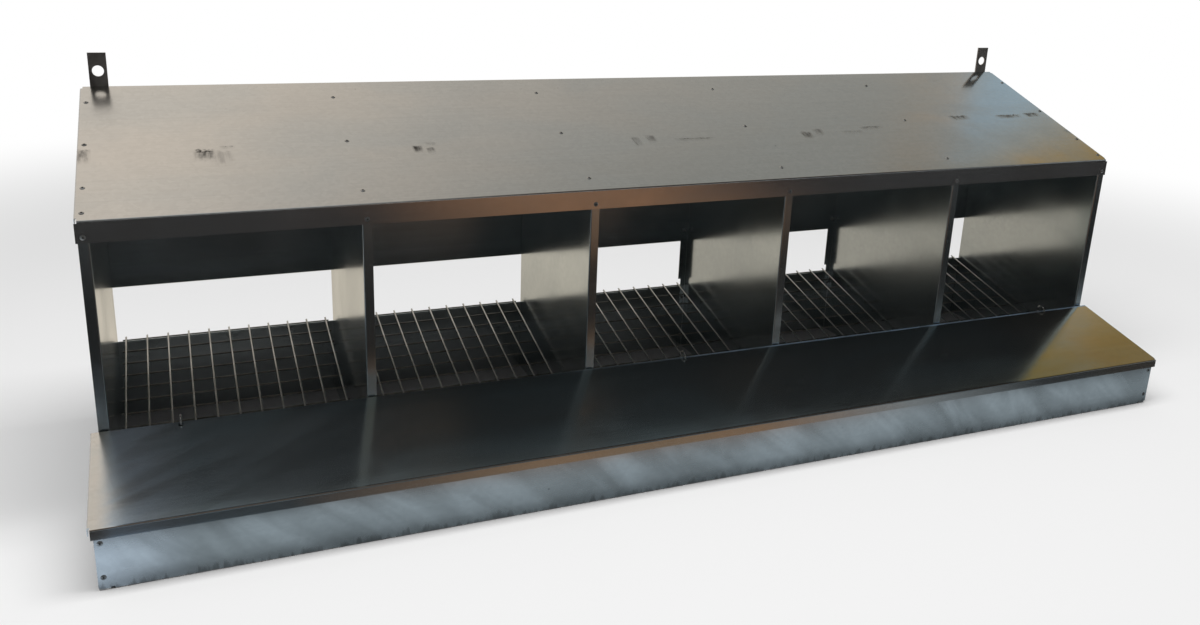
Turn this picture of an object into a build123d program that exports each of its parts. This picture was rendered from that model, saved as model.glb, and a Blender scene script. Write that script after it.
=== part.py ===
from build123d import *
from math import asin, atan, atan2, cos, floor, hypot, radians, sin, sqrt, tan
import os

# Sheet-steel nesting box: a row of nests with sloping wire floors, an egg tray in front and a hinged lid.
# Millimetres. X runs along the row, Y from the front to the back, Z up from the floor under the box.
# The pieces are made with X = 0 at the middle of the row and Y = 0 on the front face of the nest fronts.
# They are then moved along Y, so that the origin lies on the floor under the middle of the whole box.

# Nests
nest_count = 5
nest_pitch = 270.0
nest_depth = 262.0

# Sheet metal
sheet = 0.8
bend = 1.2  # bend radius at the middle of the sheet
flange = 10.5  # front and top flanges of the end panels and dividers, from the middle of the panel
rear_flange = 12.0
rear_flange_low = 8.0  # beside the wire floors, clear of their outer wires
corner_relief = 4.0  # flanges stop this far from a corner
hem = 7.0  # depth of a folded-back edge

# Roof
roof_front_height = 331.0
roof_back_height = 426.5
roof_front_lip = 23.0
roof_rear_lip = 30.0
roof_side_lip = 8.0
roof_side_gap = 1.1  # between an end panel's flange and the roof's side lip

# Back
rear_lower_height = 100.0
rear_gap_height = 73.0

# Egg tray
tray_reach = 138.3  # from the nest fronts to the outside of the tray's front wall
tray_side_step = 2.7  # the tray's end stands this far beyond the end panel's flange
tray_foot = 20.0  # flange at the foot of the front wall, which carries the wire floors

# Lid, its rings and the rail that carries them
hinge_height = 102.5
hinge_reach = 1.5  # hinge line in front of the nest fronts
lid_slope = 14.2  # degrees
lid_lip = 10.0
lid_front_gap = 2.5
lid_side_gap = 4.1
lid_rest_gap = 0.3
hinge_edge_gap = 1.5  # from the hinge line to the edges of the lid and the rail
rail_height = 12.0
rail_foot = 8.0
ring_radius = 6.5
ring_wire = 2.0
ring_hole = 5.0  # in the lid, with room for the lid to slide round the ring
ring_seat_gap = 0.3  # round a ring's wire, where the rail holds it
ring_inset = 70.0  # outer rings, from the end panels
ring_count = 3

# Wire floors
wire = 2.2
mesh_pitch = 25.0
mesh_side_gap = 9.5  # least distance from a divider to the nearest long wire
wire_stub = 4.0  # wires run on this far past the outermost crossing
floor_gap = 0.3  # between a wire floor and what it rests on

# Hanging tabs
tab_width = 20.0
tab_thickness = 2.0
tab_rise = 39.5  # above the roof's back edge
tab_tail = 28.0  # below the roof's back edge
tab_inset = 8.5  # middle of the tab, from the end panel
tab_hole = 13.0
tab_hole_rise = 18.0

# Rivets
rivet_head = 5.6
rivet_crown = 1.0
rivet_shank = 3.2
rivet_tail = 4.6
rivet_tail_height = 1.4
rivet_clearance = 0.1
rivet_edge = 6.0  # least distance from a rivet to the end of what it joins
roof_rivet_front = 24.0  # first rivet above a divider, behind the nest fronts
roof_rivet_rear = 37.0  # last rivet above any panel, in front of the nests' back
divider_roof_rivets = 3
end_roof_rivets = (12.0, 55.0, 136.0)  # the other rivets above an end panel, behind the nest fronts
rear_upper_rivet_count = 3
rear_lower_rivet_count = 2
rear_rivet_margin = 18.0

# Places that follow from the sizes
row_half = nest_count * nest_pitch / 2
lip_y = -sheet / 2
rear_panel_y = nest_depth + sheet / 2
rear_lip_y = rear_panel_y + sheet
roof_slope = atan((roof_back_height - roof_front_height) / (rear_lip_y - lip_y))
roof_normal = Vector(0, -sin(roof_slope), cos(roof_slope))
roof_half = row_half + flange + roof_side_gap + sheet / 2
lip_bottom = roof_front_height - roof_front_lip
rear_lip_bottom = roof_back_height - roof_rear_lip
rear_half = row_half + rear_flange
rear_step = rear_lower_height + rear_flange  # height at which the rear flanges widen
rail_half = row_half + flange
rail_top = hinge_height - hinge_edge_gap
rail_bottom = rail_top - rail_height
tray_half = row_half + flange + tray_side_step
tray_wall_y = -tray_reach + sheet / 2
slope = radians(lid_slope)
lid_normal = Vector(0, -sin(slope), cos(slope))
lid_front_y = -tray_reach - lid_front_gap - sheet / 2
lid_half = tray_half + lid_side_gap + sheet / 2
hem_radius = sheet  # at the middle of the sheet
hem_outside = hem_radius + sheet / 2
inset = 2 * bend  # a flat panel stops here and its folded edge starts
two_sheets = 2 * sheet
tab_grip = tab_thickness + two_sheets
drill = 4 * sheet  # length of the cutter for a hole in one sheet


def roof_z(y, drop):
    """Height at y of the line that lies square under the middle of the roof sheet by drop."""
    return roof_front_height + (y - lip_y) * tan(roof_slope) - drop / cos(roof_slope)


def lid_z(y, drop):
    """Height at y of the line that lies square under the middle of the closed lid by drop."""
    return hinge_height + (y + hinge_reach) * tan(slope) - drop / cos(slope)


def spread(count, low, high):
    """Evenly spaced values from low to high."""
    return [low + (high - low) * i / (count - 1) for i in range(count)]


def along_row(section, half_length):
    """A section in Y and Z, drawn out along the row to both sides."""
    return extrude(Plane.YZ * section, amount=half_length, both=True)


def bent_section(*corners):
    """Section of a sheet with rounded bends: corners of its middle line, as (y, z)."""
    return trace(FilletPolyline(*corners, radius=bend), sheet)


def hemmed_section(start, end, turn):
    """Section of a straight sheet, folded back at its end: turn is 1 to the left, -1 to the right."""
    face = Line(start, end)
    fold_back = JernArc(start=face @ 1, tangent=face % 1, radius=hem_radius, arc_size=180 * turn)
    layer = Line(fold_back @ 1, fold_back @ 1 + (fold_back % 1) * hem)
    return trace([face, fold_back, layer], sheet)


def fold(corner_a, corner_b, inward, turn, width):
    """Rounded bend and flange along a panel's edge, from one end of the fold line to the other.

    inward points from the edge into the panel, and turn the way that the flange points.
    """
    edge = Vector(*corner_b) - Vector(*corner_a)
    section = trace(FilletPolyline((inset, 0), (0, 0), (0, width), radius=bend), sheet)
    place = Plane(origin=corner_a, x_dir=inward, z_dir=Vector(*inward).cross(Vector(*turn)))
    return extrude(place * section, amount=edge.length, dir=edge.normalized())


def rivet(seat, grip):
    """Blind rivet: seat is on the outer sheet's face, with Z pointing out of it."""
    head = rivet_head / 2
    shank = rivet_shank / 2
    tail = rivet_tail / 2
    bottom = -grip - rivet_tail_height
    dome = TangentArc((0, rivet_crown), (head, 0), tangent=(1, 0))
    stem = [(head, 0), (shank, 0), (shank, -grip), (tail, -grip), (tail, bottom), (0, bottom)]
    return seat * revolve(Plane.XZ * make_face([dome, Polyline(*stem, dome @ 0)]), axis=Axis.Z)


def rivet_holes(seats, grip):
    """Cutters for the sheets that a group of rivets joins."""
    radius = rivet_shank / 2 + rivet_clearance
    depth = grip + 2 * sheet
    return [seat * Pos(0, 0, sheet - depth / 2) * Cylinder(radius, depth) for seat in seats]


# Panel places: x, the way the front and top flanges turn, and the way the rear flange turns
divider_x = [-row_half + i * nest_pitch for i in range(1, nest_count)]
walls = {"left_end_panel": (-row_half, -1, -1)}
for number, x in enumerate(divider_x, 1):
    walls[f"divider_{number}"] = (x, 1, 1 if x < 0 else -1)
walls["right_end_panel"] = (row_half, 1, 1)

# Rivet seats, each with Z pointing out of the outer sheet
front_flange_x = [x + turn * flange / 2 for x, turn, _ in walls.values()]
rear_upper_x = [x + turn * rear_flange / 2 for x, _, turn in walls.values()]
rear_lower_x = [x + turn * rear_flange_low / 2 for x, _, turn in walls.values()]
last_rivet_y = nest_depth - roof_rivet_rear
divider_rivet_y = spread(divider_roof_rivets, roof_rivet_front, last_rivet_y)
roof_rivet_seats = []
for name, (x, turn, _) in walls.items():
    places = divider_rivet_y if name.startswith("divider") else [*end_roof_rivets, last_rivet_y]
    for y in places:
        spot = (x + turn * flange / 2, y, roof_z(y, -sheet / 2))
        roof_rivet_seats.append(Plane(origin=spot, x_dir=(1, 0, 0), z_dir=roof_normal))


def front_seat(x, y, z):
    """Rivet seat on a face that looks to the front."""
    return Plane(origin=(x, y, z), x_dir=(1, 0, 0), z_dir=(0, -1, 0))


def rear_seat(x, y, z):
    """Rivet seat on a face that looks to the back."""
    return Plane(origin=(x, y, z), x_dir=(1, 0, 0), z_dir=(0, 1, 0))


lip_rivet_seats = [front_seat(x, -sheet, lip_bottom + rivet_edge) for x in front_flange_x]
rail_rivet_seats = [front_seat(x, -sheet, rail_top - rail_height / 2) for x in front_flange_x]
rear_upper_low = rear_lower_height + rear_gap_height
upper_rivet_low = rear_upper_low + rear_rivet_margin
rear_upper_rivet_seats = [
    rear_seat(x, nest_depth + sheet, z)
    for x in rear_upper_x
    for z in spread(rear_upper_rivet_count, upper_rivet_low, rear_lip_bottom - rivet_edge)
]
rear_lower_rivet_seats = [
    rear_seat(x, nest_depth + sheet, z)
    for x in rear_lower_x
    for z in spread(rear_lower_rivet_count, rear_rivet_margin, rear_lower_height - rear_rivet_margin)
]
tray_wall_top = lid_z(tray_wall_y, sheet / 2 + lid_rest_gap) - hem_outside
tray_flange_top = tray_wall_top - hem - corner_relief / 2
tray_front_rivet_seats = [
    front_seat(side * (tray_half - flange / 2), -tray_reach, z)
    for side in (-1, 1)
    for z in (tray_foot - rivet_edge, tray_flange_top - rivet_edge)
]
tray_rear_rivet_seats = [
    front_seat(side * (row_half + (flange + tray_side_step) / 2), -sheet, z)
    for side in (-1, 1)
    for z in (tray_foot, rail_bottom - corner_relief - rivet_edge)
]
tab_y = rear_lip_y + sheet / 2 + tab_thickness / 2
tab_seat_y = tab_y + tab_thickness / 2
tab_rivet_seats = [
    rear_seat(side * (row_half - tab_inset), tab_seat_y, z)
    for side in (-1, 1)
    for z in (roof_back_height - tab_tail + rivet_edge, roof_back_height - tab_tail / 2 + rivet_edge / 2)
]


# Roof: one sheet with a front and a rear lip, and side lips that end behind the front lip
def roof_sheet():
    corners = [
        (lip_y, lip_bottom),
        (lip_y, roof_front_height),
        (rear_lip_y, roof_back_height),
        (rear_lip_y, rear_lip_bottom),
    ]
    roof = along_row(bent_section(*corners), roof_half - inset)
    for side in (-1, 1):
        ends = [(side * roof_half, y, roof_z(y, 0)) for y in (corner_relief, nest_depth - corner_relief)]
        roof += fold(*ends, (-side, 0, 0), -roof_normal, roof_side_lip)
    lip_height = roof_front_lip - inset
    roof += Pos(0, lip_y, lip_bottom + lip_height / 2) * Box(2 * roof_half + sheet, sheet, lip_height)
    roof -= rivet_holes(roof_rivet_seats + lip_rivet_seats, two_sheets)
    return roof - rivet_holes(tab_rivet_seats, tab_grip)


# End panel or divider: a flat wall with folded front, top and rear edges
def wall_panel(x, turn, rear_turn, flange_foot):
    front = sheet / 2
    rear = nest_depth - sheet / 2
    low = front + inset
    high = rear - inset
    drop = sheet + inset
    outline = Polyline((low, 0), (high, 0), (high, roof_z(high, drop)), (low, roof_z(low, drop)), close=True)
    panel = Pos(x, 0, 0) * along_row(make_face(outline), sheet / 2)
    front_top = roof_z(front, drop) - corner_relief
    rear_top = roof_z(rear, drop) - corner_relief
    top_ends = [(x, y, roof_z(y, sheet)) for y in (low + corner_relief, high - corner_relief)]
    panel += fold((x, front, flange_foot), (x, front, front_top), (0, 1, 0), (turn, 0, 0), flange)
    panel += fold((x, rear, 0), (x, rear, rear_step), (0, -1, 0), (rear_turn, 0, 0), rear_flange_low)
    panel += fold((x, rear, rear_step), (x, rear, rear_top), (0, -1, 0), (rear_turn, 0, 0), rear_flange)
    panel += fold(*top_ends, -roof_normal, (turn, 0, 0), flange)
    seats = roof_rivet_seats + lip_rivet_seats + rail_rivet_seats
    seats += rear_upper_rivet_seats + rear_lower_rivet_seats + tray_rear_rivet_seats
    return panel - rivet_holes(seats, two_sheets)


# Back: an upper and a lower panel, with a gap between them
def rear_upper_panel():
    top = roof_z(nest_depth, sheet / 2) - corner_relief
    low = rear_upper_low + hem_outside
    panel = along_row(hemmed_section((rear_panel_y, top), (rear_panel_y, low), 1), rear_half)
    return panel - rivet_holes(rear_upper_rivet_seats, two_sheets) - rivet_holes(tab_rivet_seats, tab_grip)


def rear_lower_panel():
    high = rear_lower_height - hem_outside
    panel = along_row(hemmed_section((rear_panel_y, 0), (rear_panel_y, high), -1), rear_half)
    return panel - rivet_holes(rear_lower_rivet_seats, two_sheets)


# Lid, rail and rings
ring_x = spread(ring_count, ring_inset - row_half, row_half - ring_inset)
lid_back = (-hinge_reach - hinge_edge_gap * cos(slope), hinge_height - hinge_edge_gap * sin(slope))
lid_front = (lid_front_y, lid_z(lid_front_y, 0))


def front_rail():
    foot_z = rail_bottom + sheet / 2
    corners = [(lip_y, rail_top), (lip_y, foot_z), (lip_y - rail_foot, foot_z)]
    rail = along_row(bent_section(*corners), rail_half)
    drop = sqrt(ring_radius**2 - (hinge_reach + lip_y) ** 2)
    hole = Rot(90, 0, 0) * Cylinder(ring_wire / 2 + ring_seat_gap, drill)
    ring_holes = [Pos(x, lip_y, hinge_height - drop) * hole for x in ring_x]
    return rail - ring_holes - rivet_holes(rail_rivet_seats, two_sheets)


def egg_lid():
    lip_end = (lid_front_y, lid_front[1] - lid_lip)
    lid = along_row(bent_section(lid_back, lid_front, lip_end), lid_half - inset)
    for side in (-1, 1):
        ends = [(side * lid_half, y, lid_z(y, 0)) for y in (lid_back[0], lid_front_y + corner_relief)]
        lid += fold(*ends, (-side, 0, 0), -lid_normal, lid_lip)
    hole_y = -hinge_reach - ring_radius * cos(slope)
    for x in ring_x:
        spot = Plane(origin=(x, hole_y, lid_z(hole_y, 0)), x_dir=(1, 0, 0), z_dir=lid_normal)
        lid -= spot * Cylinder(ring_hole / 2, drill)
    return lid


def hinge_ring(x):
    return Pos(x, -hinge_reach, hinge_height) * Rot(0, 90, 0) * Torus(ring_radius, ring_wire / 2)


# Egg tray: a front wall with a foot, and two end plates
def tray_front_wall():
    foot_z = sheet / 2
    section = hemmed_section((tray_wall_y, foot_z + inset), (tray_wall_y, tray_wall_top), -1)
    wall = along_row(section, tray_half)
    foot_half = tray_half - flange - corner_relief
    foot_ends = [(side * foot_half, tray_wall_y, foot_z) for side in (-1, 1)]
    wall += fold(*foot_ends, (0, 0, 1), (0, 1, 0), tray_foot)
    return wall - rivet_holes(tray_front_rivet_seats, two_sheets)


def tray_end(side):
    x = side * (tray_half - sheet / 2)
    front = tray_wall_y + sheet
    rear = -sheet / 2
    low = front + inset
    high = rear - inset
    rest = sheet / 2 + lid_rest_gap
    outline = Polyline((low, 0), (high, 0), (high, lid_z(high, rest)), (low, lid_z(low, rest)), close=True)
    plate = Pos(x, 0, 0) * along_row(make_face(outline), sheet / 2)
    inward = (-side, 0, 0)
    plate += fold((x, front, 0), (x, front, tray_flange_top), (0, 1, 0), inward, flange)
    plate += fold((x, rear, 0), (x, rear, rail_bottom - corner_relief), (0, -1, 0), inward, flange)
    return plate - rivet_holes(tray_front_rivet_seats + tray_rear_rivet_seats, two_sheets)


# Wire floor: long wires lie on cross wires and slope from the rear lower panel's hem to the tray's foot
hem_y = rear_panel_y + hem_radius
hem_z = rear_lower_height - hem_outside
long_wire_rise = hem_outside + floor_gap + wire / 2  # square from the hem's centre to a long wire's axis
cross_wire_rise = long_wire_rise - wire
hook = sqrt(long_wire_rise**2 - cross_wire_rise**2)  # along the slope, from the hem to the rear cross wire
wall_inside = tray_wall_y + sheet / 2
cross_count = floor((hypot(hem_y - wall_inside, hem_z) - wire_stub) / mesh_pitch) + 1
front_reach = (cross_count - 1) * mesh_pitch - hook  # front cross wire, along the slope from the hem
front_wire_z = sheet + floor_gap + wire / 2
fall = asin((hem_z - front_wire_z) / hypot(front_reach, cross_wire_rise))
floor_slope = fall + atan2(cross_wire_rise, front_reach)
up_slope = Vector(0, cos(floor_slope), sin(floor_slope))
floor_normal = Vector(0, -sin(floor_slope), cos(floor_slope))
long_count = floor((nest_pitch - 2 * mesh_side_gap) / mesh_pitch) + 1
mesh_half = (long_count - 1) * mesh_pitch / 2


def wire_floor(x):
    hem_centre = Vector(x, hem_y, hem_z)
    front_end = -front_reach - wire_stub
    rear_end = hook + wire_stub
    middle = hem_centre + floor_normal * long_wire_rise + up_slope * (front_end + rear_end) / 2
    along_slope = Plane(origin=middle, x_dir=(1, 0, 0), z_dir=up_slope)
    long_wire = Cylinder(wire / 2, rear_end - front_end)
    cross_wire = Rot(0, 90, 0) * Cylinder(wire / 2, 2 * (mesh_half + wire_stub))
    wires = []
    for offset in spread(long_count, -mesh_half, mesh_half):
        wires.append(along_slope * Pos(offset, 0, 0) * long_wire)
    for step in range(cross_count):
        spot = hem_centre + floor_normal * cross_wire_rise + up_slope * (hook - step * mesh_pitch)
        wires.append(Pos(*spot) * cross_wire)
    return Compound(wires)


# Hanging tab: a flat strip behind the roof's rear lip
def hanging_tab(side):
    x = side * (row_half - tab_inset)
    middle_z = roof_back_height + (tab_rise - tab_tail) / 2
    strip = Pos(x, tab_y, middle_z) * Box(tab_width, tab_thickness, tab_rise + tab_tail)
    hole = Rot(90, 0, 0) * Cylinder(tab_hole / 2, 2 * tab_thickness)
    strip -= Pos(x, tab_y, roof_back_height + tab_hole_rise) * hole
    return strip - rivet_holes(tab_rivet_seats, tab_grip)


def rivets(seats, grip):
    return Compound([rivet(seat, grip) for seat in seats])


nodes = {
    "roof_sheet": roof_sheet(),
    "rear_upper_panel": rear_upper_panel(),
    "rear_lower_panel": rear_lower_panel(),
    "front_rail": front_rail(),
    "tray_front_wall": tray_front_wall(),
    "tray_left_end": tray_end(-1),
    "tray_right_end": tray_end(1),
    "egg_lid": egg_lid(),
    "left_hanging_tab": hanging_tab(-1),
    "right_hanging_tab": hanging_tab(1),
    "roof_rivets": rivets(roof_rivet_seats, two_sheets),
    "lip_rivets": rivets(lip_rivet_seats, two_sheets),
    "rail_rivets": rivets(rail_rivet_seats, two_sheets),
    "rear_upper_rivets": rivets(rear_upper_rivet_seats, two_sheets),
    "rear_lower_rivets": rivets(rear_lower_rivet_seats, two_sheets),
    "tray_front_rivets": rivets(tray_front_rivet_seats, two_sheets),
    "tray_rear_rivets": rivets(tray_rear_rivet_seats, two_sheets),
    "tab_rivets": rivets(tab_rivet_seats, tab_grip),
}
for name, (x, turn, rear_turn) in walls.items():
    foot = rail_bottom if name.startswith("divider") else 0
    nodes[name] = wall_panel(x, turn, rear_turn, foot)
for number in range(nest_count):
    nodes[f"wire_floor_{number + 1}"] = wire_floor(-row_half + (number + 0.5) * nest_pitch)
for number, x in enumerate(ring_x, 1):
    nodes[f"hinge_ring_{number}"] = hinge_ring(x)

# The whole box reaches from the lid's lip to the wire ends or the tab rivets at the back
front_most = lid_front_y - sheet / 2
wire_end = (up_slope * (hook + wire_stub) + floor_normal * long_wire_rise).Y
wire_back = hem_y + wire_end + wire / 2 * sin(floor_slope)
back_most = max(wire_back, tab_seat_y + rivet_crown)
to_origin = Pos(0, -(front_most + back_most) / 2, 0)

os.makedirs("parts", exist_ok=True)
for name, shape in nodes.items():
    export_step(to_origin * shape, f"parts/{name}.step")
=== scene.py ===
import math

import bmesh
import bpy
from bpy.props import FloatProperty, FloatVectorProperty, PointerProperty
from mathutils import Matrix, Vector


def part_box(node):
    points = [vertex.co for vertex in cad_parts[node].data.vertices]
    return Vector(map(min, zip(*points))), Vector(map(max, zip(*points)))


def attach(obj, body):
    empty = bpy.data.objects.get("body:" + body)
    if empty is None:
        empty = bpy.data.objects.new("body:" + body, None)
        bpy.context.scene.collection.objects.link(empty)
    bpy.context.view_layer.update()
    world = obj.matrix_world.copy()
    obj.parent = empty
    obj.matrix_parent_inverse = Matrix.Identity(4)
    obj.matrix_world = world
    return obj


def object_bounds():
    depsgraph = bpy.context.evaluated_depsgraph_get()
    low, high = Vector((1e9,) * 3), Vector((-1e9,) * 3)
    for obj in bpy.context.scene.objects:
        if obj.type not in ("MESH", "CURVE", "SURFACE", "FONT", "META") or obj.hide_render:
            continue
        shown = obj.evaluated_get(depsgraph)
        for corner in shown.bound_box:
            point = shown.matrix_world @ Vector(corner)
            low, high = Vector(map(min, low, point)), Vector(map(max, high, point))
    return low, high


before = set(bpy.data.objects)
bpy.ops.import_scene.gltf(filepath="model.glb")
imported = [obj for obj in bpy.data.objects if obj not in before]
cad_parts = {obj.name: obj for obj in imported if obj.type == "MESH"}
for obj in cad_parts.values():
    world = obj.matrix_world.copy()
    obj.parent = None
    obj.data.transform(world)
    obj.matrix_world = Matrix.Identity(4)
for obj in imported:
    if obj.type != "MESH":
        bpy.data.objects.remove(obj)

# The nesting box's solids come from model.glb. This file gives them their zinc, wire and rivet finishes,
# adds the weld spots of the wire floors and the stem ends of the rivets, and sets up the studio.
# Metres. X runs along the row of nests, Y from the egg tray to the back, Z up.

bl_info = {
    "name": "Nesting Box Finishes",
    "version": (1, 0, 0),
    "blender": (4, 5, 0),
    "location": "3D View > Sidebar > Nesting Box",
    "description": "Zinc finishes, weld spots, rivet stems and a studio for a galvanised nesting box",
    "category": "Object",
}

CAD_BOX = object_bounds()


def nodes_named(start="", end=""):
    """Names of the CAD nodes that start and end in a given way."""
    return tuple(sorted(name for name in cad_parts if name.startswith(start) and name.endswith(end)))


WALL_NODES = (*nodes_named(end="_panel"), *nodes_named("divider_"), "front_rail")
TRAY_NODES = ("tray_front_wall", "tray_left_end", "tray_right_end")
FLOOR_NODES = nodes_named("wire_floor_")
RING_NODES = nodes_named("hinge_ring_")
TAB_NODES = nodes_named(end="_hanging_tab")
RIVET_NODES = nodes_named(end="_rivets")

# Rubbed marks on the roof: X and Y of the middle of the upper edge, half the length, the drop down the
# slope, how dark the line along the upper edge is and how dark the strokes below it are
ROOF_SCUFFS = (
    (-0.681, 0.062, 0.007, 0.028, 0.5, 0.6),
    (-0.559, 0.053, 0.011, 0.022, 1.0, 0.8),
    (-0.534, 0.060, 0.008, 0.008, 0.6, 0.2),
    (-0.541, 0.050, 0.012, 0.032, 0.0, 0.3),
    (-0.320, 0.045, 0.006, 0.016, 0.4, 1.0),
    (-0.302, 0.050, 0.007, 0.007, 0.6, 0.2),
    (-0.305, 0.040, 0.005, 0.014, 0.2, 0.7),
    (-0.034, 0.044, 0.006, 0.020, 0.3, 1.0),
    (-0.012, 0.048, 0.007, 0.019, 0.2, 0.6),
    (0.050, 0.037, 0.028, 0.008, 0.9, 0.3),
    (0.225, 0.041, 0.008, 0.017, 0.4, 1.0),
    (0.247, 0.047, 0.008, 0.017, 0.2, 0.6),
    (0.302, 0.039, 0.018, 0.008, 0.6, 0.3),
    (0.340, 0.048, 0.020, 0.009, 0.8, 0.4),
    (0.513, 0.067, 0.017, 0.012, 0.9, 0.8),
    (0.607, 0.065, 0.023, 0.010, 0.9, 0.7),
    (0.655, 0.068, 0.014, 0.012, 0.9, 0.8),
    (0.686, 0.017, 0.008, 0.012, 0.8, 0.5),
)

# What each kind of patch or mark adds to the roughness
DULL_PATCH_BLUR = 0.05
BRIGHT_PATCH_BLUR = -0.03
SMUDGE_BLUR = 0.05
LINE_BLUR = 0.03
SCUFF_AND_SHADE_BLUR = 0.35
SMEAR_AND_SHEEN_BLUR = 0.13
WIRE_SMUDGE_BLUR = 0.12

POLISHED_ROUGHNESS = 0.4  # share of its roughness that polished zinc keeps
# The lid's smear mask carries a painted sheen too; these set how it covers the zinc and dusts it.
SMEAR_AND_SHEEN_COVER = 1.3  # how soon a smear hides the zinc's own colour
SMEAR_AND_SHEEN_DUST = 0.20  # share of matt dust in a full smear

# Sizes of the patches, smudges and pits on wire and other small parts
WIRE_CLOUD_SIZE = (0.03, 0.03, 0.03)
WIRE_SMUDGE_SIZE = 0.02
WIRE_SMUDGE_COVER = 0.45
WIRE_SMUDGE_STRENGTH = 0.5
WIRE_PIT_SPACING = 0.004
WIRE_PIT_DEPTH = 0.00004
# Colour of the painted shade on the lower wires of the floors
LOWER_WIRE_SHADE_COLOUR = (0.09, 0.085, 0.075)

# Shape of a broken stem
STEM_SIDES = 12
STEM_TAPER = 0.88  # width of its end, as a share of the stem's
STEM_RIM = 0.1  # share of the stem's width
STEM_HOLLOW = 0.4  # share of the stem's height

SAME_POINT = 1e-6  # corners closer than this are one
SMALLEST_LENGTH = 0.0001  # in the settings

# Studio
WHITE = (1.0, 1.0, 1.0)
FLOOR_SIDES = 96
FLOOR_FADE = (1.1, 2.4)  # distances between which the floor runs out to white
SURROUND_RADIUS = 30.0
SURROUND_SIDES = 48
SURROUND_FOOT = 0.01
GROUND_HALF_WIDTH = 8.0
GROUND_REACH = 6.2
GROUND_LIFT = 0.0005
REAR_GROUND_GAP = 0.02
SENSOR_WIDTH = 36.0  # millimetres
VIEW_RANGE = (0.01, 200.0)

# What the zinc mirrors: a few plain colours that run softly into one another
NEUTRAL = (0.55, 0.55, 0.55)
PALE_WARM = (0.85, 0.77, 0.67)
DUSK = (0.30, 0.31, 0.29)
BLUE = (0.36, 0.48, 0.56)
BLUE_EDGE = (0.45, 0.40, 0.33)
GOLD = (0.50, 0.30, 0.05)
OLD_GOLD = (0.22, 0.16, 0.05)
DIM = (0.02, 0.02, 0.02)
DIM_STRAIGHT_AHEAD = (0.08, 0.07, 0.05)
DIM_LOW = (0.17, 0.19, 0.20)
WINDOW = (0.85, 1.0, 1.05)
OVERHEAD = (0.50, 0.53, 0.55)
DARK = (0.04, 0.04, 0.04)
BROWN = (0.30, 0.17, 0.10)
GREY = (0.25, 0.25, 0.25)
PALE_BLUE = (0.33, 0.39, 0.42)
BRIGHT_BLUE = (0.80, 0.95, 1.10)
WARM = (0.67, 0.60, 0.50)
DIM_WARM = (0.50, 0.45, 0.38)

# The surround's stops are an angle in degrees, aslant across it, and a colour.
BEHIND = ((-180, NEUTRAL), (-6, PALE_WARM), (60, DUSK), (180, NEUTRAL))
GOLDEN = ((61, GOLD), (63, OLD_GOLD), (90, DUSK))

# The grounds' stops are a place along the box and a colour.
FAR_GROUND = ((-0.2, DARK), (0.2, BROWN), (0.5, BROWN), (0.9, DARK))
MIDDLE_GROUND = DIM
NEAR_GROUND = ((-0.5, DARK), (-0.2, BROWN), (0.1, BROWN), (0.35, GREY), (0.6, DARK))
FOOT_STRIP = ((-0.7, BRIGHT_BLUE), (-0.6, PALE_BLUE))
REAR_GROUND = ((-0.35, WARM), (-0.15, DIM_WARM))


# Node helpers

def add_node(tree, kind, inputs=None, **settings):
    """Adds a node, sets its options and fills its inputs: links a socket, and sets a value or a colour."""
    node = tree.nodes.new(kind)
    for name, value in settings.items():
        setattr(node, name, value)
    for key, value in (inputs or {}).items():
        socket = node.inputs[key]
        if isinstance(value, bpy.types.NodeSocket):
            tree.links.new(value, socket)
        else:
            socket.default_value = (*value, 1.0) if socket.type == "RGBA" else value
    return node


def calculate(tree, operation, a, b=0.0, c=0.0, clamp=False):
    """A Math node's result."""
    node = add_node(tree, "ShaderNodeMath", {0: a, 1: b, 2: c}, operation=operation, use_clamp=clamp)
    return node.outputs[0]


def product(tree, value, *others):
    """Values multiplied together."""
    for other in others:
        value = calculate(tree, "MULTIPLY", value, other)
    return value


def largest(tree, value, *others):
    """The largest of several values."""
    for other in others:
        value = calculate(tree, "MAXIMUM", value, other)
    return value


def vector_math(tree, operation, a, b=(0.0, 0.0, 0.0), output="Vector"):
    """A Vector Math node's result."""
    return add_node(tree, "ShaderNodeVectorMath", {0: a, 1: b}, operation=operation).outputs[output]


def axes(tree, place):
    """A place's X, Y and Z."""
    return add_node(tree, "ShaderNodeSeparateXYZ", {0: place}).outputs


def turned(tree, place, rotation):
    """A place turned, so that a pattern lies aslant."""
    return add_node(tree, "ShaderNodeMapping", {"Vector": place, "Rotation": rotation}).outputs["Vector"]


def remap(tree, value, low, high, to_low=0.0, to_high=1.0, smooth=False):
    """A value moved from one range to another, and held there."""
    return add_node(
        tree, "ShaderNodeMapRange",
        {"Value": value, "From Min": low, "From Max": high, "To Min": to_low, "To Max": to_high},
        interpolation_type="SMOOTHSTEP" if smooth else "LINEAR", clamp=True,
    ).outputs["Result"]


def between(tree, value, lower, upper, smooth=False):
    """A mask of a range. Each end is the value where the mask is 0 and the value where it is 1."""
    low_side, high_side = (remap(tree, value, *end, smooth=smooth) for end in (lower, upper))
    return product(tree, low_side, high_side)


def mix_colour(tree, factor, a, b, blend="MIX"):
    """Two colours mixed by a factor."""
    return add_node(
        tree, "ShaderNodeMix", {0: factor, 6: a, 7: b},
        data_type="RGBA", blend_type=blend, clamp_factor=True,
    ).outputs[2]


def colour_ramp(tree, value, stops):
    """A colour that follows a value through stops, each a value and its colour."""
    low, high = stops[0][0], stops[-1][0]
    ramp = add_node(tree, "ShaderNodeValToRGB", {"Fac": remap(tree, value, low, high)})
    elements = ramp.color_ramp.elements
    for n, (at, colour) in enumerate(stops):
        place = (at - low) / (high - low)
        element = elements[n] if n < 2 else elements.new(place)
        element.position = place
        element.color = (*colour, 1.0)
    return ramp.outputs["Color"]


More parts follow.
